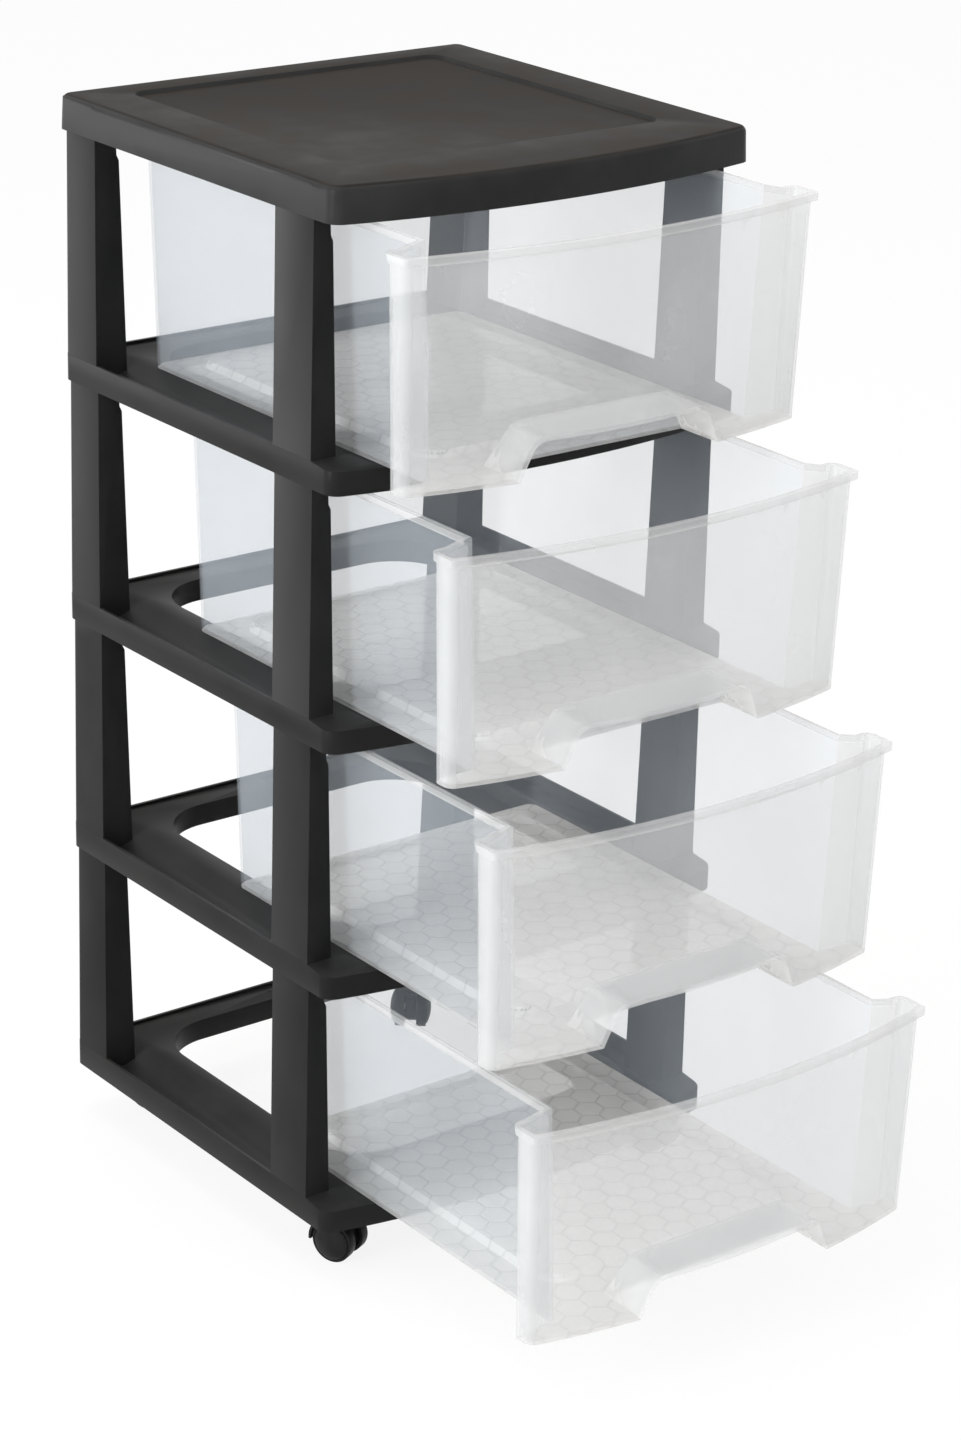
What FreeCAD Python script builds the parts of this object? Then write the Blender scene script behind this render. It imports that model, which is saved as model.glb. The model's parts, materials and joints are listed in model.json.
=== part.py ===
import FreeCAD, Part
import math
import os

# A plastic tower of four drawers on four twin-wheel castors.
# Millimetres, +Z up. While it is modelled, X is zero on the middle plane, Y is zero on the
# front faces of the posts and grows to the back, and Z is zero on the floor.
# The finished pieces are moved along Y, so that the origin is under the middle of the
# tower as it stands with its drawers drawn out.

Vec = FreeCAD.Vector

# The tower
tier_count = 4
tier_pitch = 190.0
tower_width = 364.0
tower_depth = 324.0
wheel_gap_height = 40.0
overrun = 5.0

# Names that end in side are measured in from the tower's outer side, and those that end in
# inset from its front or back. The tray's two are measured from the drawer's own box.

# Plan of a shelf: straight sides and back, a bowed front ahead of the posts
front_reach = 24.0
front_bow = 21.7
front_radius = 12.0
back_radius = 8.0
frame_wall = 2.5

# Shelf of one frame moulding
rail_height = 20.0
deck_height = 17.5
ramp_run = 20.0
ramp_side_run = 7.0
deck_side = 38.0
channel_height = 10.0
channel_slope_run = 20.0
ring_side = 57.0
ring_front = 30.0
ring_back_inset = 25.0
ring_radius = 47.0
back_boss_radius = 3.0
back_boss_rise = 0.3
back_boss_inset = 7.0

# Posts of one frame moulding
post_depth = 46.0
front_post_widths = [21.6, 17.0]
back_post_widths = [27.4, 21.3]
post_draft = 1.5
shoulder_height = 14.0
shoulder_slope = 4.0
shoulder_step = 1.8
plug_height = 12.0
plug_clearance = 0.4
plug_width = 9.5
plug_radius = 1.5
socket_rib_wall = 2.2

# Lid
lid_skirt = 20.0
lid_crown = 6.0
lid_overhang = 1.5
lid_draft = 1.2
lid_edge_radius = 5.0
panel_side = 43.5
panel_front = 21.0
panel_back_inset = 28.0
panel_radius = 11.0
panel_depth = 2.8
panel_slope = 1.2

# Drawer
drawer_clearance = 0.4
drawer_back_clearance = 1.5
drawer_top_gap = 2.1
drawer_front_drop = 4.5
drawer_wall = 2.0
drawer_foot_side = 40.0
drawer_top_side = 32.5
drawer_back_radius = 10.0
ear_foot_side = 7.5
ear_top_side = 3.3
ear_back = -22.0
ear_front_foot = -40.0
ear_front_top = -43.5
ear_front_radius = 8.0
ear_back_radius = 6.0
lip_width = 2.0
lip_reach = 3.5
lip_corner_radius = 4.0
lip_height = 5.5
ear_rim_slope = 18.0
drawn_out = [57.0, 115.0, 168.0, 220.0]

# Raised middle of a drawer's floor
tray_side = 29.0
tray_front = 15.0
tray_back_inset = 20.0
tray_radius = 18.0
tray_rise = 5.0
tray_slope = 3.0

# Finger grip, a notch in the drawer front with a pocket behind it
grip_half_foot = 87.5
grip_half_top = 78.0
grip_height = 27.0
grip_rise = 8.0
grip_back_half_top = 62.0
grip_radius = 14.0
grip_back_foot = -17.0
grip_back_top = -25.0
grip_back_radius = 8.0

# Castor
wheel_radius = 16.5
wheel_rim = 8.0
wheel_rim_wall = 2.5
wheel_dome = 4.5
wheel_dome_radius = 15.0
wheel_disc_wall = 3.0
wheel_hub_radius = 5.0
tread_chamfer = 0.9
axle_radius = 2.5
axle_end_gap = 0.3
castor_trail = 13.0
castor_front_side = 29.0
castor_front_inset = 15.0
castor_back_side = 45.5
castor_back_inset = 22.0
castor_headings = {"front_left": 24.0, "front_right": 8.0, "back_left": 38.0, "back_right": -38.0}
running_clearance = 0.05
side_clearance = 0.4
fork_radius = 4.6
fork_disc_radius = 11.5
fork_top_gap = 0.3
hood_clearance = 1.5
hood_wall = 2.0
hood_start_angle = -6.0
hood_end_angle = 112.0
stem_radius = 3.0
stem_depth = 16.0
stem_collar_radius = 6.5
stem_collar_height = 1.2
stem_plug_radius = 5.5
stem_plug_height = 11.0
stem_boss_wall = 2.5
stem_chamfer = 0.8

# Sizes that follow from those above
half_width = tower_width / 2
deck_half = half_width - deck_side
channel_half = deck_half + channel_slope_run
ring_half = half_width - ring_side
ring_back = tower_depth - ring_back_inset
panel_half = half_width - panel_side
panel_back = tower_depth - panel_back_inset
lid_height = lid_skirt + lid_crown
lid_bottom = wheel_gap_height + tier_count * tier_pitch
drawer_floor = deck_height + drawer_clearance
drawer_height = tier_pitch - drawer_floor - drawer_top_gap
drawer_front_height = drawer_height - drawer_front_drop
drawer_half_foot = half_width - drawer_foot_side
drawer_half_top = half_width - drawer_top_side
drawer_back = tower_depth - frame_wall - drawer_back_clearance
ear_half_foot = half_width - ear_foot_side
ear_half_top = half_width - ear_top_side
tray_half = drawer_half_foot - tray_side
tray_back = drawer_back - tray_back_inset
castor_places = {"front": (half_width - castor_front_side, castor_front_inset),
                 "back": (half_width - castor_back_side, tower_depth - castor_back_inset)}
reach_all = front_reach + front_bow
front_most = ear_front_top - front_bow - lip_reach - max(drawn_out)
back_most = tower_depth + lid_overhang
middle_y = (front_most + back_most) / 2
wheel_inner = fork_radius + side_clearance
wheel_outer = wheel_inner + wheel_rim


def flat(z):
    """Places a plan point at one height."""
    return lambda u, v: Vec(u, v, z)


def across(y):
    """Places a point of a front view at one depth."""
    return lambda u, v: Vec(u, y, v)


def side_on(x):
    """Places a point of a side view at one distance from the middle."""
    return lambda u, v: Vec(x, u, v)


def rounded_edges(points, place, closed):
    """Lines and tangent arcs through points of (u, v, corner radius)."""
    count = len(points)
    starts = []
    ends = []
    arcs = []
    for index in range(count):
        u, v, radius = points[index]
        here = Vec(u, v, 0)
        if radius == 0:
            starts.append(here)
            ends.append(here)
            arcs.append(None)
            continue
        before = points[index - 1]
        after = points[(index + 1) % count]
        arriving = (here - Vec(before[0], before[1], 0)).normalize()
        leaving = (Vec(after[0], after[1], 0) - here).normalize()
        turn = arriving.getAngle(leaving)
        reach = radius * math.tan(turn / 2)
        start = here - arriving * reach
        end = here + leaving * reach
        inward = (leaving - arriving).normalize()
        middle = here + inward * (radius / math.cos(turn / 2) - radius)
        starts.append(start)
        ends.append(end)
        arcs.append(middle)
    edges = []
    last = count if closed else count - 1
    for index in range(last + (0 if closed else 1)):
        if arcs[index] is not None:
            trio = [place(p.x, p.y) for p in (starts[index], arcs[index], ends[index])]
            edges.append(Part.Arc(*trio).toShape())
        if index < last:
            following = starts[(index + 1) % count]
            edges.append(Part.LineSegment(place(ends[index].x, ends[index].y),
                                          place(following.x, following.y)).toShape())
    return edges


def rounded_wire(points, place):
    return Part.Wire(rounded_edges(points, place, True))


def rounded_plan(x0, x1, y0, y1, radius, z):
    """A rectangle with rounded corners, in plan."""
    corners = [(x0, y0, radius), (x1, y0, radius), (x1, y1, radius), (x0, y1, radius)]
    return rounded_wire(corners, flat(z))


def prism(wire, direction):
    return Part.Face(wire).extrude(direction)


def upright(wire, height):
    return prism(wire, Vec(0, 0, height))


def loft(wires):
    return Part.makeLoft(wires, True, True)


def tube(radius, centre, along, length):
    """A round bar from a point along a direction."""
    return Part.makeCylinder(radius, length, centre, along)


def mirrored(shape):
    return shape.mirror(Vec(0, 0, 0), Vec(1, 0, 0))


def bowed_outline(corners, inset, z):
    """Closed plan with a bowed front. Corners are (x, y, radius) on the right half from the
    front to the back, and a corner with no radius stays sharp."""
    half, front_y, radius = corners[0]
    sweep = (half * half + front_bow * front_bow) / (2 * front_bow)
    centre_y = front_y - front_bow + sweep
    sweep_in = sweep - inset
    corner = radius - inset
    centre = Vec(half - radius, 0, 0)
    centre.y = centre_y - math.sqrt((sweep_in - corner) ** 2 - centre.x ** 2)
    hub = Vec(0, centre_y, 0)
    on_sweep = hub + (centre - hub).normalize() * sweep_in
    on_side = Vec(half - inset, centre.y, 0)
    bulge = centre + ((on_sweep - centre) + (on_side - centre)).normalize() * corner
    right = [(x - inset, y - inset, r - inset if r else 0) for x, y, r in corners[1:]]
    left = [(-x, y, r) for x, y, r in reversed(right)]
    path = [(on_side.x, on_side.y, 0)] + right + left + [(-on_side.x, on_side.y, 0)]
    place = flat(z)

    def arc(first, middle, last):
        return Part.Arc(place(*first), place(*middle), place(*last)).toShape()

    edges = [arc((on_sweep.x, on_sweep.y), (bulge.x, bulge.y), (on_side.x, on_side.y))]
    edges += rounded_edges(path, place, False)
    edges.append(arc((-on_side.x, on_side.y), (-bulge.x, bulge.y), (-on_sweep.x, on_sweep.y)))
    edges.append(arc((-on_sweep.x, on_sweep.y), (0, centre_y - sweep_in),
                     (on_sweep.x, on_sweep.y)))
    return Part.Wire(edges)


def shelf_outline(grow, inset, z):
    """Plan of the shelf, or of the lid when it grows past the shelf."""
    front = (half_width + grow, -front_reach - grow, front_radius)
    back = (half_width + grow, tower_depth + grow, back_radius + grow)
    return bowed_outline([front, back], inset, z)


def post_section(z, y0, y1, outer_radius, step, inset):
    """Section of the right-hand post at a height above the shelf's underside."""
    foot, neck = back_post_widths if y0 else front_post_widths
    width = foot + (neck - foot) * z / tier_pitch
    lean = post_draft * z / tier_pitch
    outer = half_width - lean - inset
    inner = half_width - width + step + inset
    back = y1 - inset - (lean if outer_radius else 0)
    front = y0 + inset
    corners = [(inner, front, 0), (outer, front, 0),
               (outer, back, max(outer_radius - inset, 0)), (inner, back, 0)]
    return rounded_wire(corners, flat(z))


def post_solid(y0, y1, outer_radius, inset, low, high):
    """Tapered post with a small shoulder under its top."""
    heights = [(low, 0), (tier_pitch - shoulder_height - shoulder_slope, 0),
               (tier_pitch - shoulder_height, shoulder_step), (high, shoulder_step)]
    return loft([post_section(z, y0, y1, outer_radius, step, inset) for z, step in heights])


def plug_plan(y0, y1, clearance, z):
    """Plan of the plug on a post's top, or of its socket when the clearance is zero."""
    outer = half_width - post_draft - frame_wall - clearance
    inner = half_width - post_draft - frame_wall - plug_width + clearance
    return rounded_plan(inner, outer, y0 + frame_wall + clearance,
                        y1 - frame_wall - clearance - post_draft, plug_radius, z)


def socket(y0, y1, height, outside):
    """Walls that a plug slides up between, closed on all four sides. They run out into
    the skirt around them."""
    inner = half_width - post_draft - frame_wall - plug_width - socket_rib_wall
    outer = half_width + overrun
    far = y1 + overrun if y1 == tower_depth else y1
    walls = Part.makeBox(outer - inner, far - y0, height, Vec(inner, y0, 0))
    return walls.common(outside).cut(upright(plug_plan(y0, y1, 0, 0), height))


def post_places():
    """Front and back posts: start, end and radius of the outer back edge."""
    return [(0, post_depth, 0), (tower_depth - post_depth, tower_depth, back_radius)]


def under_deck():
    """Everything below the top of the shelf between the posts: a flat deck with a
    sloping strip and a channel along each side."""
    inner = half_width - frame_wall
    profile = [(-inner, 0), (inner, 0), (inner, channel_height), (channel_half, channel_height),
               (deck_half, deck_height), (-deck_half, deck_height),
               (-channel_half, channel_height), (-inner, channel_height)]
    wire = rounded_wire([(x, z, 0) for x, z in profile], across(0))
    return prism(wire, Vec(0, tower_depth, 0))


def deck_plate():
    """The shelf's top as a plate of even thickness inside the skirt."""
    upper = under_deck()
    plate = upper.cut(upper.translated(Vec(0, 0, -frame_wall)))
    inner = half_width - frame_wall
    start = -reach_all
    apron = Part.makeBox(2 * inner, reach_all, frame_wall,
                         Vec(-inner, start, deck_height - frame_wall))
    plate = plate.fuse(apron)
    drop = channel_height - frame_wall
    for side in (1, -1):
        wall = Part.makeBox(inner - deck_half, frame_wall, deck_height - drop,
                            Vec(deck_half, -frame_wall, drop))
        ramp = [(deck_half, deck_height - frame_wall, 0), (inner, deck_height - frame_wall, 0),
                (inner, rail_height, 0), (deck_half + ramp_side_run, rail_height, 0),
                (deck_half, deck_height, 0)]
        corner = prism(rounded_wire(ramp, across(start)), Vec(0, reach_all, 0))
        both = wall.fuse(corner)
        plate = plate.fuse(both if side == 1 else mirrored(both))
    return plate


def above_apron():
    """Space over the front apron, which falls away ahead of the posts."""
    far = -reach_all - overrun
    top = rail_height + overrun
    profile = [(overrun, rail_height, 0), (0, rail_height, ramp_run / 2),
               (-ramp_run, deck_height, ramp_run / 2),
               (far, deck_height, 0), (far, top, 0), (overrun, top, 0)]
    wire = rounded_wire(profile, side_on(-half_width - overrun))
    return prism(wire, Vec(tower_width + 2 * overrun, 0, 0))


def frame_tier():
    """One moulding: a shelf with four hollow posts that plug into the shelf above."""
    outside = upright(shelf_outline(0, 0, 0), rail_height)
    inside = upright(shelf_outline(0, frame_wall, 0), rail_height)
    body = outside.cut(inside)
    body = body.fuse(deck_plate().common(inside)).cut(above_apron())

    ring_outer = upright(rounded_plan(-ring_half - frame_wall, ring_half + frame_wall,
                                      ring_front - frame_wall, ring_back + frame_wall,
                                      ring_radius + frame_wall, 0), deck_height)
    ring_inner = upright(rounded_plan(-ring_half, ring_half, ring_front, ring_back,
                                      ring_radius, -overrun), rail_height + overrun)
    body = body.fuse(ring_outer).cut(ring_inner)

    for x, y in castor_places.values():
        boss = tube(stem_plug_radius + stem_boss_wall, Vec(x, y, 0), Vec(0, 0, 1), deck_height)
        boss = boss.common(under_deck())
        body = body.fuse(boss).fuse(mirrored(boss))
    mark = tube(back_boss_radius, Vec(0, tower_depth - back_boss_inset - frame_wall, deck_height),
                Vec(0, 0, 1), back_boss_rise)
    body = body.fuse(mark)

    for y0, y1, radius in post_places():
        post = post_solid(y0, y1, radius, 0, 0, tier_pitch)
        hollow = post_solid(y0, y1, radius, frame_wall, -overrun, tier_pitch - frame_wall)
        plug = upright(plug_plan(y0, y1, plug_clearance, tier_pitch), plug_height)
        guide = socket(y0, y1, plug_height, outside)
        for shape in (post, guide, plug):
            body = body.fuse(shape).fuse(mirrored(shape))
        room = upright(plug_plan(y0, y1, 0, -overrun), plug_height + overrun)
        core = hollow.cut(guide).fuse(room)
        body = body.cut(core).cut(mirrored(core))

    for x, y in castor_places.values():
        bore = tube(stem_plug_radius + running_clearance, Vec(x, y, -overrun), Vec(0, 0, 1),
                    overrun + stem_plug_height + side_clearance)
        body = body.cut(bore).cut(mirrored(bore))
    return body.removeSplitter()


def top_edges(shape, height):
    """Edges that lie in one level plane."""
    found = []
    for edge in shape.Edges:
        box = edge.BoundBox
        if abs(box.ZMin - height) < running_clearance and abs(box.ZMax - height) < running_clearance:
            found.append(edge)
    return found


def lid():
    """Cover with a skirt, a rounded edge, a sunken panel and sockets for the top posts."""
    foot = shelf_outline(lid_overhang, 0, 0)
    crown = shelf_outline(lid_overhang, lid_draft, lid_height)
    outside = loft([foot, crown])
    body = outside.makeFillet(lid_edge_radius, top_edges(outside, lid_height))
    hollow = loft([shelf_outline(lid_overhang, frame_wall, 0),
                   shelf_outline(lid_overhang, frame_wall + lid_draft, lid_height - frame_wall)])
    spread = frame_wall + panel_slope
    floor_under = lid_height - panel_depth - frame_wall
    keep = upright(rounded_plan(-panel_half - spread, panel_half + spread, panel_front - spread,
                                panel_back + spread, panel_radius + spread, floor_under),
                   panel_depth + frame_wall)
    body = body.cut(hollow.cut(keep))

    low = lid_height - panel_depth
    sunk = rounded_plan(-panel_half, panel_half, panel_front, panel_back, panel_radius, low)
    rim = rounded_plan(-panel_half - panel_slope, panel_half + panel_slope,
                       panel_front - panel_slope, panel_back + panel_slope,
                       panel_radius + panel_slope, lid_height)
    body = body.cut(loft([sunk, rim]))
    for y0, y1, _ in post_places():
        guide = socket(y0, y1, lid_height - frame_wall, outside)
        body = body.fuse(guide).fuse(mirrored(guide))
    body = body.removeSplitter()
    body.translate(Vec(0, 0, lid_bottom))
    return body


def drawer_sizes(z):
    """Half width of the box and of its front, and the front's place, at a height above the
    drawer's underside."""
    share = z / drawer_height
    box_half = drawer_half_foot + (drawer_half_top - drawer_half_foot) * share
    ear_half = ear_half_foot + (ear_half_top - ear_half_foot) * share
    front = ear_front_foot + (ear_front_top - ear_front_foot) * share
    return box_half, ear_half, front


def drawer_outline(z, inset):
    """Plan of a drawer: a box with a wider bowed front."""
    box_half, ear_half, front = drawer_sizes(z)
    return bowed_outline([(ear_half, front, ear_front_radius),
                          (ear_half, ear_back, ear_back_radius), (box_half, ear_back, 0),
                          (box_half, drawer_back, drawer_back_radius)], inset, z)


def lip_outline(z):
    """Plan of the lip around the rim, which reaches out farther along the front."""
    box_half, ear_half, front = drawer_sizes(z)
    behind = ear_back + lip_width
    return bowed_outline([(ear_half + lip_width, front - lip_reach, lip_corner_radius),
                          (ear_half + lip_width, behind, ear_back_radius + lip_width),
                          (box_half + lip_width, behind, 0),
                          (box_half + lip_width, drawer_back + lip_width,
                           drawer_back_radius + lip_width)], 0, z)


def above_rim():
    """Space over the drawer's rim, which is lower along the front and falls along the ears."""
    wide = ear_half_top + lip_width + overrun
    ahead = ear_front_top - front_bow - lip_reach - overrun
    behind = drawer_back + lip_width + overrun
    top = drawer_height + overrun
    space = Part.makeBox(2 * wide, behind - ahead, overrun, Vec(-wide, ahead, drawer_height))
    front_end = ear_back - drawer_wall
    space = space.fuse(Part.makeBox(2 * wide, front_end - ahead, top - drawer_front_height,
                                    Vec(-wide, ahead, drawer_front_height)))
    start = drawer_half_top
    slope = [(start, drawer_height, 0), (start + ear_rim_slope, drawer_front_height, 0),
             (wide, drawer_front_height, 0), (wide, top, 0), (start, top, 0)]
    wedge = prism(rounded_wire(slope, across(front_end)),
                  Vec(0, drawer_wall + lip_width + overrun, 0))
    return space.fuse(wedge).fuse(mirrored(wedge))


def grip_section(y, grow, height, half_top):
    """Section of the finger pocket across the drawer, with the half width of its roof."""
    lean = (grip_half_foot - half_top) / height
    foot = grip_half_foot + grow + lean * overrun
    top = half_top + grow
    corners = [(-foot, -overrun, 0), (foot, -overrun, 0), (top, height, grip_radius + grow),
               (-top, height, grip_radius + grow)]
    return rounded_wire(corners, across(y))


def grip_pocket(grow):
    """Space for the fingers: its roof rises and narrows to the back, where a wall leans."""
    ahead = ear_front_foot - front_bow - overrun
    run = grip_back_foot - (ear_front_foot - front_bow)
    slope = grip_rise / run
    front_height = grip_height + grow - slope * overrun
    roof = loft([grip_section(ahead, grow, front_height, grip_half_top),
                 grip_section(grip_back_foot + grow + overrun, grow,
                              front_height + slope * (run + grow + 2 * overrun),
                              grip_back_half_top)])
    tall = grip_height + grip_rise + grow
    lean = (grip_back_foot - grip_back_top) / tall
    profile = [(ahead, -overrun, 0),
               (grip_back_foot + grow + lean * overrun, -overrun, 0),
               (grip_back_top + grow, tall, grip_back_radius + grow),
               (ahead, grip_height + grow - slope * overrun, 0)]
    side = prism(rounded_wire(profile, side_on(-ear_half_top)), Vec(2 * ear_half_top, 0, 0))
    return roof.common(side)


def raised_floor(grow, low, high):
    """Raised middle of the floor, with sloping edges."""
    wires = []
    for z, spread in ((low, tray_slope + grow), (high, grow)):
        wires.append(rounded_plan(-tray_half - spread, tray_half + spread, tray_front - spread,
                                  tray_back + spread, tray_radius + spread, z))
    return loft(wires)


def drawer(opening):
    """A drawer, drawn out by the opening."""
    outer = loft([drawer_outline(0, 0), drawer_outline(drawer_height, 0)])
    inner = loft([drawer_outline(drawer_wall, drawer_wall),
                  drawer_outline(drawer_height + overrun, drawer_wall)])
    space = above_rim()
    body = outer.cut(inner)
    floor = raised_floor(0, drawer_wall, drawer_wall + tray_rise)
    body = body.fuse(floor).cut(raised_floor(-drawer_wall / 2, -running_clearance, tray_rise))
    body = body.fuse(grip_pocket(drawer_wall).common(outer)).cut(grip_pocket(0))

    low = drawer_front_height - lip_height
    ring = loft([lip_outline(low), lip_outline(drawer_height)])
    band = space.translated(Vec(0, 0, -lip_height))
    lip = ring.common(band).cut(inner)
    body = body.fuse(lip).cut(space).removeSplitter()
    body.translate(Vec(0, -opening, drawer_floor))
    return body


def wheel():
    """Wheel on the right of a castor: a cup with a domed outer face, open towards the fork."""
    bore = axle_radius + running_clearance
    axle_room = wheel_outer - wheel_disc_wall + axle_end_gap
    inner_disc = wheel_outer - wheel_disc_wall - wheel_disc_wall
    cup = wheel_radius - wheel_rim_wall
    tip = Vec(wheel_outer + wheel_dome, 0, 0)
    dome_edge = Vec(wheel_outer, 0, wheel_dome_radius)
    sphere = (wheel_dome_radius ** 2 + wheel_dome ** 2) / (2 * wheel_dome)
    half_turn = math.asin(wheel_dome_radius / sphere) / 2
    midway = Vec(tip.x - sphere + sphere * math.cos(half_turn), 0, sphere * math.sin(half_turn))
    points = [Vec(axle_room, 0, 0), Vec(axle_room, 0, bore), Vec(wheel_inner, 0, bore),
              Vec(wheel_inner, 0, wheel_hub_radius), Vec(inner_disc, 0, wheel_hub_radius),
              Vec(inner_disc, 0, cup), Vec(wheel_inner, 0, cup),
              Vec(wheel_inner, 0, wheel_radius - tread_chamfer),
              Vec(wheel_inner + tread_chamfer, 0, wheel_radius),
              Vec(wheel_outer - tread_chamfer, 0, wheel_radius),
              Vec(wheel_outer, 0, wheel_radius - tread_chamfer), dome_edge]
    edges = Part.makePolygon(points).Edges
    edges.append(Part.Arc(dome_edge, midway, tip).toShape())
    edges.append(Part.LineSegment(tip, points[0]).toShape())
    return Part.Face(Part.Wire(edges)).revolve(Vec(0, 0, 0), Vec(1, 0, 0), 360)


def fork():
    """Body of a castor: a web between the wheels, the bearing of the stem, and a hood."""
    top = wheel_gap_height - stem_collar_height - fork_top_gap - wheel_radius
    web = tube(fork_disc_radius, Vec(-fork_radius, 0, 0), Vec(1, 0, 0), 2 * fork_radius)
    post = tube(fork_radius, Vec(0, castor_trail, -wheel_hub_radius), Vec(0, 0, 1),
                top + wheel_hub_radius)
    link = Part.makeBox(2 * fork_radius, castor_trail, fork_disc_radius + wheel_hub_radius,
                        Vec(-fork_radius, 0, -wheel_hub_radius))
    inner = wheel_radius + hood_clearance
    outer = inner + hood_wall
    start = math.radians(hood_start_angle)
    end = math.radians(hood_end_angle)
    middle = (start + end) / 2

    def polar(radius, angle):
        return Vec(-wheel_outer, radius * math.cos(angle), radius * math.sin(angle))

    edges = [Part.Arc(*[polar(outer, a) for a in (start, middle, end)]).toShape(),
             Part.LineSegment(polar(outer, end), polar(inner, end)).toShape(),
             Part.Arc(*[polar(inner, a) for a in (end, middle, start)]).toShape(),
             Part.LineSegment(polar(inner, start), polar(outer, start)).toShape()]
    hood = prism(Part.Wire(edges), Vec(2 * wheel_outer, 0, 0))
    bridge = Part.makeBox(2 * fork_radius, castor_trail, outer - hood_wall / 2,
                          Vec(-fork_radius, 0, 0))
    swept = tube(inner + hood_wall / 2, Vec(-fork_radius, 0, 0), Vec(1, 0, 0), 2 * fork_radius)
    body = web.fuse(post).fuse(link).fuse(bridge.common(swept)).fuse(hood)
    body = body.cut(tube(axle_radius + running_clearance, Vec(-wheel_outer, 0, 0),
                         Vec(1, 0, 0), 2 * wheel_outer))
    body = body.cut(tube(stem_radius + running_clearance,
                         Vec(0, castor_trail, top - stem_depth), Vec(0, 0, 1),
                         stem_depth + overrun))
    return body.removeSplitter()


def stem():
    """Steel pin of a castor: it stands in the shelf's boss and carries the fork."""
    low = wheel_gap_height - wheel_radius
    foot = low - stem_collar_height - stem_depth + fork_top_gap
    collar = low - stem_collar_height
    top = low + stem_plug_height
    points = [Vec(0, 0, foot), Vec(stem_radius - stem_chamfer, 0, foot),
              Vec(stem_radius, 0, foot + stem_chamfer), Vec(stem_radius, 0, collar),
              Vec(stem_collar_radius, 0, collar), Vec(stem_collar_radius, 0, low),
              Vec(stem_plug_radius, 0, low), Vec(stem_plug_radius, 0, top - stem_chamfer),
              Vec(stem_plug_radius - stem_chamfer, 0, top), Vec(0, 0, top), Vec(0, 0, foot)]
    pin = Part.Face(Part.makePolygon(points)).revolve(Vec(0, 0, 0), Vec(0, 0, 1), 360)
    pin.translate(Vec(0, castor_trail, 0))
    return pin


def axle():
    """Steel pin that carries both wheels."""
    reach = wheel_outer - wheel_disc_wall
    return tube(axle_radius, Vec(-reach, 0, 0), Vec(1, 0, 0), 2 * reach)


def castor_pieces(corner):
    """The pieces of one castor in place, by name."""
    row, side = corner.split("_")
    x, y = castor_places[row]
    if side == "left":
        x = -x
    right_wheel = wheel()
    pieces = {"stem": stem(), "fork": fork(), "axle": axle(),
              "wheel_right": right_wheel, "wheel_left": mirrored(right_wheel)}
    for shape in pieces.values():
        shape.translate(Vec(0, -castor_trail, 0))
        shape.rotate(Vec(0, 0, 0), Vec(0, 0, 1), castor_headings[corner])
        shape.translate(Vec(x, y, wheel_radius))
    return pieces


def keep_piece(name, shape):
    """Moves a finished piece to the part's origin and writes it."""
    shape.translate(Vec(0, -middle_y, 0))
    shape.exportStep(os.path.join("parts", name + ".step"))


def main():
    os.makedirs("parts", exist_ok=True)
    keep_piece("lid", lid())
    moulding = frame_tier()
    for level in range(tier_count):
        tier = moulding.copy()
        tier.translate(Vec(0, 0, lid_bottom - (level + 1) * tier_pitch))
        keep_piece("frame_tier_" + str(level + 1), tier)
        box = drawer(drawn_out[level])
        box.translate(Vec(0, 0, lid_bottom - (level + 1) * tier_pitch))
        keep_piece("drawer_" + str(level + 1), box)
    for corner in castor_headings:
        for piece, shape in castor_pieces(corner).items():
            keep_piece("castor_" + corner + "_" + piece, shape)


main()
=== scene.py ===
import json
import math

import bpy
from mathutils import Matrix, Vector


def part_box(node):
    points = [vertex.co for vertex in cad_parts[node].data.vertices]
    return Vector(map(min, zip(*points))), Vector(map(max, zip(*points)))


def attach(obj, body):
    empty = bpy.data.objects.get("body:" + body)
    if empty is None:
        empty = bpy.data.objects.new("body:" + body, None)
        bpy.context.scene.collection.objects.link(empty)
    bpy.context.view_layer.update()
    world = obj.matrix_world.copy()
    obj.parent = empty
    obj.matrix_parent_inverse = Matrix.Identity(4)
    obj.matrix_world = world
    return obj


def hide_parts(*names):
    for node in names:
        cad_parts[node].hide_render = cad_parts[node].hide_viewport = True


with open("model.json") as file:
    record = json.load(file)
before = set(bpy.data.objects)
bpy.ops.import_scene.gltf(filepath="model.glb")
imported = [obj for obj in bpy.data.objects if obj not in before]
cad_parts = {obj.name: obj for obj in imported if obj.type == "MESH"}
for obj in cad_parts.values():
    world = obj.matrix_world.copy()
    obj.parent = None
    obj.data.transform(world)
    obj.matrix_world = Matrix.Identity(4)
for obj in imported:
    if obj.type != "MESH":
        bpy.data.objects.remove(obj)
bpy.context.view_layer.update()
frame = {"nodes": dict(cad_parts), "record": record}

# A plastic drawer tower: four black frames and a lid, four milky drawers drawn out in
# steps, and four small castors with two wheels each. Everything is in metres.

print("frame loaded:", len(frame["nodes"]), "nodes")


# Modelling

meshSettings = {"mergeDistance": 0.00001, "flatAngle": 0.3, "smoothAngle": 35,
                "corner": 30, "segments": 2}


def clearSelection():
    bpy.ops.object.select_all(action="DESELECT")


def makeActive(piece):
    clearSelection()
    piece.select_set(True)
    bpy.context.view_layer.objects.active = piece


def addToScene(name, data):
    piece = bpy.data.objects.new(name, data)
    bpy.context.scene.collection.objects.link(piece)
    return piece


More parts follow.
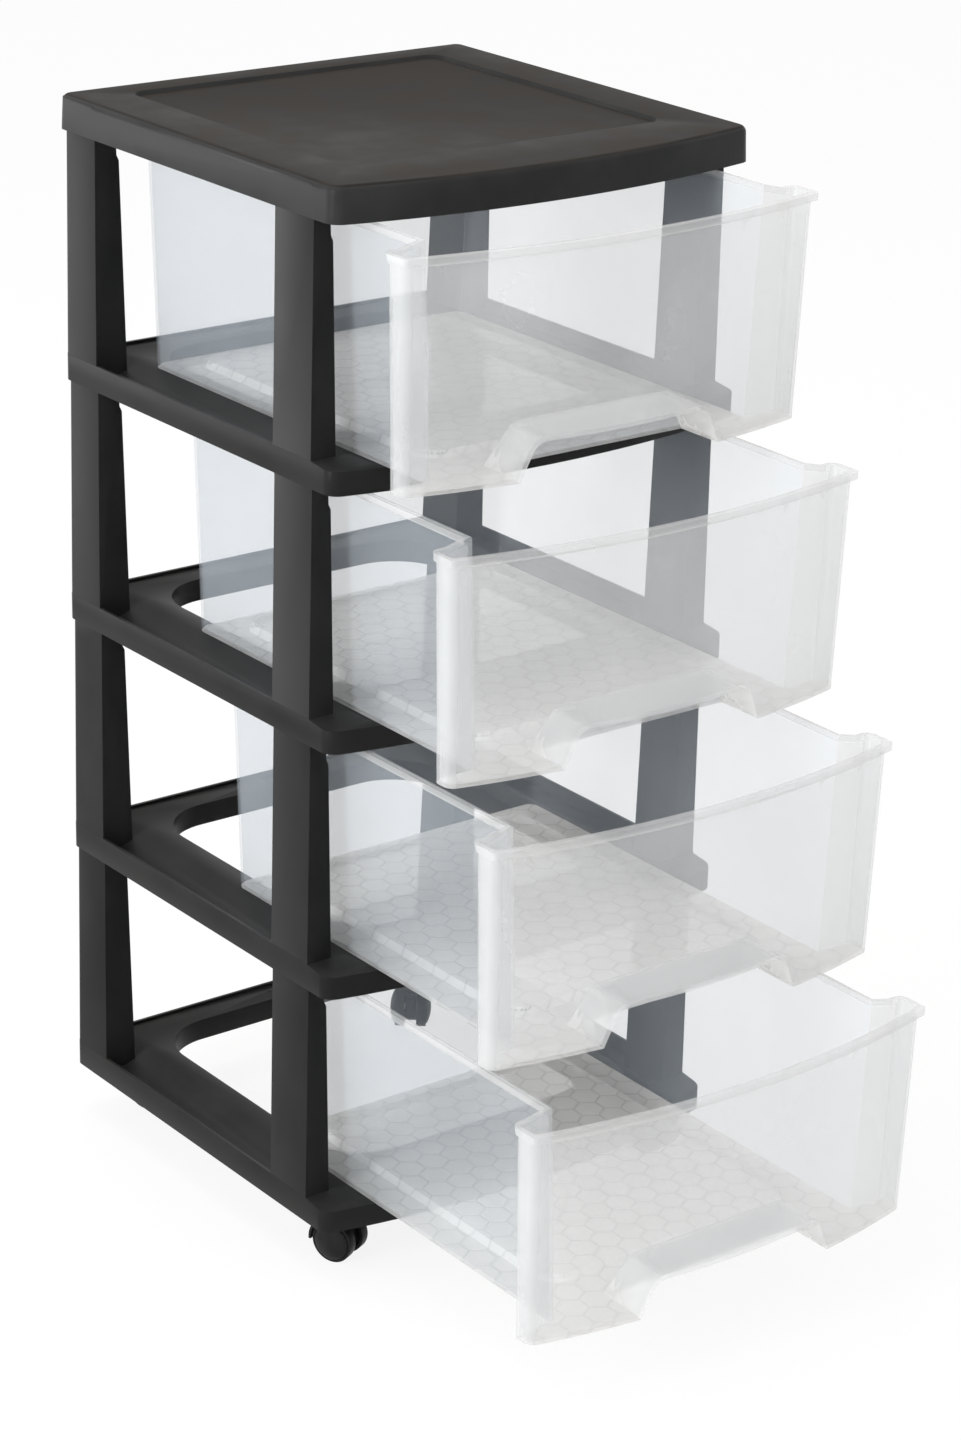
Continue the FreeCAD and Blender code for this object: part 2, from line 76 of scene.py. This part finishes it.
def copyOfNode(node, name):
    # the CAD mesh is loose triangles, so the copy is merged and its flat faces are joined
    piece = addToScene(name, frame["nodes"][node].data.copy())
    makeActive(piece)
    bpy.ops.object.mode_set(mode="EDIT")
    bpy.ops.mesh.select_all(action="SELECT")
    bpy.ops.mesh.remove_doubles(threshold=meshSettings["mergeDistance"])
    if piece.data.has_custom_normals:
        bpy.ops.mesh.customdata_custom_splitnormals_clear()
    bpy.ops.mesh.dissolve_limited(angle_limit=math.radians(meshSettings["flatAngle"]))
    bpy.ops.object.mode_set(mode="OBJECT")
    return piece


def softenEdges(piece, width, corner=meshSettings["corner"],
                segments=meshSettings["segments"]):
    # rounds the edges where the surface turns by more than the corner angle, in degrees
    bevel = piece.modifiers.new("edges", "BEVEL")
    bevel.width = width
    bevel.segments = segments
    bevel.limit_method = "ANGLE"
    bevel.angle_limit = math.radians(corner)
    makeActive(piece)
    bpy.ops.object.modifier_apply(modifier=bevel.name)
    bpy.ops.object.shade_smooth_by_angle(angle=math.radians(meshSettings["smoothAngle"]))


def giveMaterials(piece, *materials):
    piece.data.materials.clear()
    for material in materials:
        piece.data.materials.append(material)


def giveFaces(piece, slot, wanted):
    # faces that the test picks by their middle and normal take another of the materials
    for face in piece.data.polygons:
        if wanted(face.center, face.normal):
            face.material_index = slot


# Nodes that the finishes share

def newMaterial(name):
    material = bpy.data.materials.new(name)
    material.use_nodes = True
    tree = material.node_tree
    tree.nodes.clear()
    output = tree.nodes.new("ShaderNodeOutputMaterial")
    shader = tree.nodes.new("ShaderNodeBsdfPrincipled")
    tree.links.new(shader.outputs["BSDF"], output.inputs["Surface"])
    return material, tree, shader


skinDetail = {"Grain": 2.0, "Cloud": 5.0}


def makeSkinGroup():
    # fine grain of a moulded surface, and the slow clouds that the melt leaves in its colour
    group = bpy.data.node_groups.new("mouldedSkin", "ShaderNodeTree")
    group.interface.new_socket(name="Vector", in_out="INPUT", socket_type="NodeSocketVector")
    for result in skinDetail:
        group.interface.new_socket(name=result + " Size", in_out="INPUT",
                                   socket_type="NodeSocketFloat")
    for result in skinDetail:
        group.interface.new_socket(name=result, in_out="OUTPUT",
                                   socket_type="NodeSocketFloat")
    entry = group.nodes.new("NodeGroupInput")
    leave = group.nodes.new("NodeGroupOutput")
    for result, detail in skinDetail.items():
        noise = group.nodes.new("ShaderNodeTexNoise")
        noise.inputs["Detail"].default_value = detail
        group.links.new(entry.outputs["Vector"], noise.inputs["Vector"])
        group.links.new(entry.outputs[result + " Size"], noise.inputs["Scale"])
        group.links.new(noise.outputs["Fac"], leave.inputs[result])
    return group


mouldedSkin = makeSkinGroup()


def placeSkin(tree, settings):
    place = tree.nodes.new("ShaderNodeTexCoord")
    skin = tree.nodes.new("ShaderNodeGroup")
    skin.node_tree = mouldedSkin
    skin.inputs["Grain Size"].default_value = settings["grainSize"]
    skin.inputs["Cloud Size"].default_value = settings["cloudSize"]
    tree.links.new(place.outputs["Object"], skin.inputs["Vector"])
    return skin.outputs["Grain"], skin.outputs["Cloud"]


def spread(tree, source, levels, results):
    # maps a value between two levels to a range of plain numbers
    node = tree.nodes.new("ShaderNodeMapRange")
    node.inputs["From Min"].default_value, node.inputs["From Max"].default_value = levels
    node.inputs["To Min"].default_value, node.inputs["To Max"].default_value = results
    tree.links.new(source, node.inputs["Value"])
    return node.outputs["Result"]


def ramp(tree, source, levels, settings):
    # maps a value between two levels to the finish's dark and pale colours
    node = tree.nodes.new("ShaderNodeValToRGB")
    for stop, level, shade in zip(node.color_ramp.elements, levels, ("dark", "pale")):
        stop.position = level
        stop.color = (*settings[shade], 1.0)
    tree.links.new(source, node.inputs["Fac"])
    return node.outputs["Color"]


def bumped(tree, source, shader, strength, depth):
    bump = tree.nodes.new("ShaderNodeBump")
    bump.inputs["Strength"].default_value = strength
    bump.inputs["Distance"].default_value = depth
    tree.links.new(source, bump.inputs["Height"])
    tree.links.new(bump.outputs["Normal"], shader.inputs["Normal"])


def filledNode(tree, kind, operation, sources):
    # each source is a socket to link, or a constant for the input itself
    node = tree.nodes.new(kind)
    node.operation = operation
    for index, source in enumerate(sources):
        if isinstance(source, (tuple, float)):
            node.inputs[index].default_value = source
        else:
            tree.links.new(source, node.inputs[index])
    return node


def plainMath(tree, operation, *sources):
    return filledNode(tree, "ShaderNodeMath", operation, sources).outputs["Value"]


def vectorMath(tree, operation, *sources, result="Vector"):
    return filledNode(tree, "ShaderNodeVectorMath", operation, sources).outputs[result]


# Black plastic and steel

blackSkin = {"shades": (0.38, 0.66), "levels": (0.35, 0.65), "bump": 0.4}
blackSettings = {
    "blackPlastic": {"dark": (0.0105, 0.0103, 0.0102), "pale": (0.0155, 0.0150, 0.0147),
                     "gloss": 0.10, "rough": (0.32, 0.42),
                     "grainSize": 1500.0, "cloudSize": 16.0, "grainDepth": 0.00004},
    # a paler, warmer copy of the black plastic for faces that look up: painted light from
    # above; its rougher, less glossy grain is the lid's own matte top
    "matteTopPaintedLight": {"dark": (0.0210, 0.0188, 0.0172), "pale": (0.0300, 0.0262, 0.0232),
                   "gloss": 0.025, "rough": (0.40, 0.52),
                   "grainSize": 1300.0, "cloudSize": 26.0, "grainDepth": 0.00005},
    # a paler copy of the black plastic: painted light on the lid's sides and on the tiers'
    # up-facing faces
    "paintedLitBlack": {"dark": (0.022, 0.022, 0.022), "pale": (0.032, 0.0315, 0.031),
                     "gloss": 0.08, "rough": (0.30, 0.42),
                     "grainSize": 1400.0, "cloudSize": 18.0, "grainDepth": 0.00004},
    "castorPlastic": {"dark": (0.010, 0.010, 0.010), "pale": (0.016, 0.0155, 0.0155),
                      "gloss": 0.1, "rough": (0.38, 0.5),
                      "grainSize": 1900.0, "cloudSize": 70.0, "grainDepth": 0.00003}}


def makeBlackPlastic(name, settings):
    material, tree, shader = newMaterial(name)
    grain, cloud = placeSkin(tree, settings)
    tree.links.new(ramp(tree, cloud, blackSkin["shades"], settings),
                   shader.inputs["Base Color"])
    tree.links.new(spread(tree, cloud, blackSkin["levels"], settings["rough"]),
                   shader.inputs["Roughness"])
    shader.inputs["Specular IOR Level"].default_value = settings["gloss"]
    bumped(tree, grain, shader, blackSkin["bump"], settings["grainDepth"])
    return material


steelSettings = {"dark": (0.45, 0.45, 0.46), "pale": (0.62, 0.62, 0.63), "rough": 0.3,
                 "levels": (0.3, 0.7), "grainSize": 2600.0, "cloudSize": 120.0,
                 "grainDepth": 0.00002, "bump": 0.2}


def makeSteel(name, settings):
    material, tree, shader = newMaterial(name)
    grain, cloud = placeSkin(tree, settings)
    tree.links.new(ramp(tree, cloud, settings["levels"], settings),
                   shader.inputs["Base Color"])
    shader.inputs["Metallic"].default_value = 1.0
    shader.inputs["Roughness"].default_value = settings["rough"]
    bumped(tree, grain, shader, settings["bump"], settings["grainDepth"])
    return material


# Milky plastic, with a honeycomb on the floors of the drawers

# two sides of each cell face the drawer's sides; groove and soft are in cell widths
combSettings = {"cell": 0.0215, "middle": (0.0, -0.0890), "groove": 0.065, "soft": 0.04,
                "depth": 0.0004, "bump": 0.8, "darker": 0.83}
combRow = math.sqrt(3)


def nearSide(tree, spot):
    # 0 in the middle of a cell round the origin, and 0.5 on each of its six sides
    positive = vectorMath(tree, "ABSOLUTE", spot)
    slanted = vectorMath(tree, "DOT_PRODUCT", positive, (0.5, combRow / 2, 0.0),
                         result="Value")
    parts = tree.nodes.new("ShaderNodeSeparateXYZ")
    tree.links.new(positive, parts.inputs["Vector"])
    return plainMath(tree, "MAXIMUM", slanted, parts.outputs["X"])


def placeComb(tree):
    # two shifted rectangular grids of cells; each point belongs to the nearer cell
    cell = combSettings["cell"]
    row = (1.0, combRow, 1.0)
    half = (0.5, combRow / 2, 0.5)
    place = tree.nodes.new("ShaderNodeTexCoord")
    mapping = tree.nodes.new("ShaderNodeMapping")
    mapping.vector_type = "POINT"
    mapping.inputs["Scale"].default_value = (1 / cell, 1 / cell, 0.0)
    mapping.inputs["Location"].default_value = (-combSettings["middle"][0] / cell,
                                                -combSettings["middle"][1] / cell, 0.0)
    tree.links.new(place.outputs["Object"], mapping.inputs["Vector"])
    sides = []
    for shift in ((0.0, 0.0, 0.0), half):
        moved = vectorMath(tree, "ADD", mapping.outputs["Vector"], shift)
        shares = vectorMath(tree, "DIVIDE", moved, row)
        nearest = vectorMath(tree, "ADD", shares, (0.5, 0.5, 0.5))
        whole = vectorMath(tree, "FLOOR", nearest)
        centre = vectorMath(tree, "MULTIPLY", whole, row)
        spot = vectorMath(tree, "SUBTRACT", moved, centre)
        flat = vectorMath(tree, "MULTIPLY", spot, (1.0, 1.0, 0.0))
        sides.append(nearSide(tree, flat))
    return plainMath(tree, "MINIMUM", *sides)


def addGrooves(tree, shader, colour):
    # lowers and darkens the surface along the sides of the cells
    start = 0.5 - combSettings["groove"]
    height = spread(tree, placeComb(tree), (start, start + combSettings["soft"]), (1.0, 0.0))
    bumped(tree, height, shader, combSettings["bump"], combSettings["depth"])
    shade = spread(tree, height, (0.0, 1.0), (combSettings["darker"], 1.0))
    mix = tree.nodes.new("ShaderNodeMix")
    mix.data_type = "RGBA"
    mix.blend_type = "MULTIPLY"
    mix.inputs["Factor"].default_value = 1.0
    tree.links.new(colour, mix.inputs["A"])
    tree.links.new(shade, mix.inputs["B"])
    return mix.outputs["Result"]


# alpha is what one surface hides, and scatter how much of the light goes inside
milkySkin = {"levels": (0.35, 0.65), "alphaSpread": 0.02, "scatterScale": 0.006, "bump": 0.2,
             "grainSize": 900.0, "cloudSize": 7.0, "grainDepth": 0.00003}
milkySettings = {
    "milkyWall": {"dark": (0.520, 0.580, 0.635), "pale": (0.575, 0.630, 0.680),
                  "alpha": 0.172, "rough": 0.22, "scatter": 0.0, "combed": False},
    "milkyFront": {"dark": (0.785, 0.790, 0.792), "pale": (0.840, 0.845, 0.842),
                   "alpha": 0.280, "rough": 0.25, "scatter": 0.0, "combed": False},
    # paler than the front: painted light that lifts the shade in the finger pocket, with real
    # subsurface scattering through its wall
    "milkyPocketPaintedLight": {"dark": (0.93, 0.93, 0.915), "pale": (0.97, 0.97, 0.955),
                    "alpha": 0.34, "rough": 0.30, "scatter": 0.6, "combed": False},
    "milkyEdge": {"dark": (0.68, 0.69, 0.69), "pale": (0.74, 0.75, 0.75),
                  "alpha": 0.36, "rough": 0.25, "scatter": 0.0, "combed": False},
    "milkyRim": {"dark": (0.68, 0.68, 0.67), "pale": (0.74, 0.74, 0.73),
                 "alpha": 0.34, "rough": 0.28, "scatter": 0.0, "combed": False},
    "milkyFloor": {"dark": (0.93, 0.91, 0.88), "pale": (0.97, 0.955, 0.93),
                   "alpha": 0.62, "rough": 0.34, "scatter": 0.5, "combed": True}}


def makeMilkyPlastic(name, settings):
    material, tree, shader = newMaterial(name)
    grain, cloud = placeSkin(tree, milkySkin)
    colour = ramp(tree, cloud, milkySkin["levels"], settings)
    if settings["combed"]:
        colour = addGrooves(tree, shader, colour)
    else:
        bumped(tree, grain, shader, milkySkin["bump"], milkySkin["grainDepth"])
    tree.links.new(colour, shader.inputs["Base Color"])
    alphas = (settings["alpha"] - milkySkin["alphaSpread"],
              settings["alpha"] + milkySkin["alphaSpread"])
    tree.links.new(spread(tree, cloud, milkySkin["levels"], alphas), shader.inputs["Alpha"])
    shader.inputs["Roughness"].default_value = settings["rough"]
    shader.inputs["Subsurface Weight"].default_value = settings["scatter"]
    shader.inputs["Subsurface Radius"].default_value = (1.0, 1.0, 1.0)
    shader.inputs["Subsurface Scale"].default_value = milkySkin["scatterScale"]
    return material


finishes = {}
for name, settings in blackSettings.items():
    finishes[name] = makeBlackPlastic(name, settings)
for name, settings in milkySettings.items():
    finishes[name] = makeMilkyPlastic(name, settings)
finishes["zincSteel"] = makeSteel("zincSteel", steelSettings)
print("finishes made:", len(bpy.data.materials))


# Pieces

slotFinish = {"black_plastic": "blackPlastic", "clear_plastic": "milkyWall",
              "castor_plastic": "castorPlastic", "steel": "zincSteel"}
nodeBody = {}
for body, members in frame["record"]["behaviour"]["bodies"].items():
    for node in members:
        nodeBody[node] = body
nodeSlot = {part["node"]: part["material_slot"] for part in frame["record"]["subparts"]}
joints = {joint["name"]: joint for joint in frame["record"]["behaviour"]["joints"]}

for node, piece in frame["nodes"].items():
    giveMaterials(piece, finishes[slotFinish[nodeSlot[node]]])


def standFor(piece, node):
    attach(piece, nodeBody[node])
    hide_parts(node)


frameShape = {"lidEdge": 0.0008, "tierEdge": 0.0006, "topFacing": 0.8}


def dressFrame(node, edge, sides, paintedLitTops):
    piece = copyOfNode(node, "soft_" + node)
    softenEdges(piece, edge)
    giveMaterials(piece, finishes[sides], finishes[paintedLitTops])
    # the second finish, a paler copy of the black plastic, goes on the faces that look up:
    # painted light from above
    giveFaces(piece, 1, lambda middle, normal: normal.z > frameShape["topFacing"])
    standFor(piece, node)
    print("softened", node, len(piece.data.polygons))


drawerShape = {"edge": 0.0005, "rim": 0.0064, "frontDrop": 0.0045, "frontZone": 0.0478,
               "earInside": 0.1712, "pocketHalf": 0.0895, "pocketFoot": 0.001,
               "pocketTop": 0.0295, "pocketFacing": 0.25, "floorTop": 0.0085,
               "floorFacing": 0.5}
drawerFinishes = ["milkyWall", "milkyRim", "milkyFloor", "milkyEdge", "milkyFront",
                  "milkyPocketPaintedLight"]


def drawerZones(low, high):
    # where each finish goes on a drawer with these corners; a later zone wins
    frontEnd = low.y + drawerShape["frontZone"]
    rimFoot = high.z - drawerShape["rim"]
    floorTop = low.z + drawerShape["floorTop"]

    def onFront(middle, normal):
        return middle.y < frontEnd

    def onRim(middle, normal):
        return middle.z > rimFoot or (middle.y < frontEnd and
                                      middle.z > rimFoot - drawerShape["frontDrop"])

    def onPocket(middle, normal):
        # the faces of the finger pocket that don't face straight forwards or backwards; they
        # take the paler pocket finish, painted light that lifts their shade
        return (middle.y < frontEnd and abs(middle.x) < drawerShape["pocketHalf"] and
                low.z + drawerShape["pocketFoot"] < middle.z and
                middle.z < low.z + drawerShape["pocketTop"] and
                abs(normal.x) + abs(normal.z) > drawerShape["pocketFacing"])

    def onEar(middle, normal):
        return middle.y < frontEnd and abs(middle.x) > drawerShape["earInside"]

    def onFloor(middle, normal):
        return middle.z < floorTop and abs(normal.z) > drawerShape["floorFacing"]

    return {"milkyFront": onFront, "milkyRim": onRim, "milkyPocketPaintedLight": onPocket,
            "milkyEdge": onEar, "milkyFloor": onFloor}


def dressDrawer(node):
    piece = copyOfNode(node, "soft_" + node)
    softenEdges(piece, drawerShape["edge"])
    giveMaterials(piece, *(finishes[name] for name in drawerFinishes))
    low, high = (Vector(corner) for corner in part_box(node))
    for name, wanted in drawerZones(low, high).items():
        giveFaces(piece, drawerFinishes.index(name), wanted)
    standFor(piece, node)
    print("softened", node, len(piece.data.polygons))


# one wheel along +X: a tread, a ring round the rim, a domed face and a cup on the inner side
wheelShape = {"radius": 0.0165, "inner": 0.0050, "outer": 0.0130, "sides": 72,
              "endFacing": 0.9, "edge": 0.0005, "corner": 40, "segments": 3,
              "tyre": 0.0017, "ringDepth": 0.0007, "ringWidth": 0.0005,
              "cupRadius": 0.0139, "cupDepth": 0.0070, "cupDraft": 0.0004,
              "dome": [(0.0141, 0.0006), (0.0130, 0.0014), (0.0112, 0.0022),
                       (0.0086, 0.0031), (0.0056, 0.0038), (0.0026, 0.0042)]}


def selectFaces(piece, wanted):
    bpy.ops.mesh.select_all(action="DESELECT")
    bpy.ops.object.mode_set(mode="OBJECT")
    for face in piece.data.polygons:
        face.select = wanted(face.center, face.normal)
    bpy.ops.object.mode_set(mode="EDIT")


def makeWheel():
    clearSelection()
    width = wheelShape["outer"] - wheelShape["inner"]
    bpy.ops.mesh.primitive_cylinder_add(vertices=wheelShape["sides"],
                                        radius=wheelShape["radius"], depth=width,
                                        location=(wheelShape["inner"] + width / 2, 0.0, 0.0),
                                        rotation=(0.0, math.radians(90), 0.0),
                                        calc_uvs=False)
    wheel = bpy.context.active_object
    wheel.name = "castorWheel"
    bpy.ops.object.transform_apply(location=True, rotation=True, scale=True)
    bpy.ops.object.mode_set(mode="EDIT")
    bpy.ops.mesh.select_mode(type="FACE")

    selectFaces(wheel, lambda middle, normal: normal.x > wheelShape["endFacing"])
    bpy.ops.mesh.inset(thickness=wheelShape["tyre"], depth=0.0)
    bpy.ops.mesh.inset(thickness=wheelShape["ringWidth"], depth=-wheelShape["ringDepth"])
    radius = wheelShape["radius"] - wheelShape["tyre"] - wheelShape["ringWidth"]
    height = -wheelShape["ringDepth"]
    for toRadius, toHeight in wheelShape["dome"]:
        bpy.ops.mesh.inset(thickness=radius - toRadius, depth=toHeight - height)
        radius, height = toRadius, toHeight

    selectFaces(wheel, lambda middle, normal: normal.x < -wheelShape["endFacing"])
    bpy.ops.mesh.inset(thickness=wheelShape["radius"] - wheelShape["cupRadius"], depth=0.0)
    bpy.ops.mesh.inset(thickness=wheelShape["cupDraft"], depth=-wheelShape["cupDepth"])
    bpy.ops.object.mode_set(mode="OBJECT")
    softenEdges(wheel, wheelShape["edge"], wheelShape["corner"], wheelShape["segments"])
    giveMaterials(wheel, finishes["castorPlastic"])
    return wheel


def placeWheels(wheel):
    # a left wheel is the same wheel turned round, on the axis of its own joint
    for node in nodeBody:
        if "_wheel_" not in node:
            continue
        corner, side = node[len("castor_"):].split("_wheel_")
        joint = joints["castor_" + corner + "_" + side + "_roll"]
        copy = addToScene("dressed_" + node, wheel.data.copy())
        heading = math.atan2(joint["axis"][1], joint["axis"][0])
        if side == "left":
            heading += math.pi
        copy.rotation_euler = (0.0, 0.0, heading)
        copy.location = joint["pos_m"]
        makeActive(copy)
        bpy.ops.object.transform_apply(location=True, rotation=True, scale=True)
        standFor(copy, node)
    bpy.data.objects.remove(wheel)


forkShape = {"edge": 0.0004}


def dressForks():
    for node in nodeBody:
        if node.endswith("_fork"):
            piece = copyOfNode(node, "soft_" + node)
            softenEdges(piece, forkShape["edge"])
            giveMaterials(piece, finishes["castorPlastic"])
            standFor(piece, node)


storeys = ("1", "2", "3", "4")
dressFrame("lid", frameShape["lidEdge"], "paintedLitBlack", "matteTopPaintedLight")
for storey in storeys:
    dressFrame("frame_tier_" + storey, frameShape["tierEdge"], "blackPlastic", "paintedLitBlack")
for storey in storeys:
    dressDrawer("drawer_" + storey)
placeWheels(makeWheel())
dressForks()
print("castors dressed")


# Room, light and camera

studio = {"floorSize": 12.0, "floorShade": 0.95, "floorRough": 0.9, "seenWhite": 0.87,
          "skyLight": 0.80, "skyTint": (0.99, 0.99, 1.0), "aim": (0.0, 0.0, 0.45)}
lamps = {"keyLeft": {"place": (-2.8, -0.4, 1.3), "wide": 0.7, "tall": 1.8, "power": 50.0,
                     "colour": (0.97, 0.985, 1.0)},
         "backLeft": {"place": (-1.8, 2.2, 0.62), "wide": 2.4, "tall": 1.2, "power": 24.0,
                      "colour": (0.99, 0.99, 1.0)},
         "topBack": {"place": (-0.2, 0.6, 3.2), "wide": 1.4, "tall": 1.4, "power": 32.0,
                     "colour": (1.0, 0.96, 0.91)}}


def whiteRays(tree, share):
    # the rays that meet the white background: those of the camera, of gloss and through glass
    seen = tree.nodes.new("ShaderNodeLightPath")
    white = plainMath(tree, "MULTIPLY", seen.outputs["Is Camera Ray"], share)
    for kind in ("Is Glossy Ray", "Is Transmission Ray"):
        white = plainMath(tree, "MAXIMUM", white, seen.outputs[kind])
    return white


def mixByRays(tree, share, lit, white, output):
    # the white rays see one surface, and all other rays meet the lit one
    mix = tree.nodes.new("ShaderNodeMixShader")
    tree.links.new(whiteRays(tree, share), mix.inputs["Fac"])
    tree.links.new(lit, mix.inputs[1])
    tree.links.new(white, mix.inputs[2])
    tree.links.new(mix.outputs["Shader"], output.inputs["Surface"])


def makeFloor():
    clearSelection()
    bpy.ops.mesh.primitive_plane_add(size=studio["floorSize"], location=(0.0, 0.0, 0.0))
    floor = bpy.context.active_object
    floor.name = "studioFloor"
    material, tree, shader = newMaterial("studioFloor")
    shade = studio["floorShade"]
    shader.inputs["Base Color"].default_value = (shade, shade, shade, 1.0)
    shader.inputs["Roughness"].default_value = studio["floorRough"]
    shader.inputs["Specular IOR Level"].default_value = 0.0
    output = shader.outputs["BSDF"].links[0].to_node
    white = tree.nodes.new("ShaderNodeEmission")
    mixByRays(tree, studio["seenWhite"], shader.outputs["BSDF"], white.outputs["Emission"],
              output)
    giveMaterials(floor, material)


def background(tree, colour, strength):
    node = tree.nodes.new("ShaderNodeBackground")
    node.inputs["Color"].default_value = (*colour, 1.0)
    node.inputs["Strength"].default_value = strength
    return node.outputs["Background"]


def makeSky():
    world = bpy.data.worlds.new("studioWhite")
    bpy.context.scene.world = world
    world.use_nodes = True
    tree = world.node_tree
    tree.nodes.clear()
    output = tree.nodes.new("ShaderNodeOutputWorld")
    white = background(tree, (1.0, 1.0, 1.0), 1.0)
    room = background(tree, studio["skyTint"], studio["skyLight"])
    mixByRays(tree, 1.0, room, white, output)


def makeLamps():
    for name, lamp in lamps.items():
        light = bpy.data.lights.new(name, "AREA")
        light.shape = "RECTANGLE"
        light.size = lamp["wide"]
        light.size_y = lamp["tall"]
        light.energy = lamp["power"]
        light.color = lamp["colour"]
        stand = addToScene(name, light)
        stand.location = lamp["place"]
        aim = Vector(studio["aim"]) - Vector(lamp["place"])
        stand.rotation_euler = aim.to_track_quat("-Z", "Y").to_euler()


photoView = {"place": (-1.59376, -2.04704, 1.40655), "turn": (68.66845, -1.32024, -37.12168),
             "lens": 94.241, "filmHeight": 36.0, "reach": 50.0}


def makeCamera():
    lens = bpy.data.cameras.new("photoCamera")
    lens.sensor_fit = "VERTICAL"
    lens.sensor_height = photoView["filmHeight"]
    lens.lens = photoView["lens"]
    lens.clip_end = photoView["reach"]
    camera = addToScene("photoCamera", lens)
    camera.location = photoView["place"]
    camera.rotation_euler = [math.radians(angle) for angle in photoView["turn"]]
    bpy.context.scene.camera = camera


makeFloor()
makeSky()
makeLamps()
makeCamera()
bpy.context.scene.view_settings.view_transform = "Standard"
print("studio made")
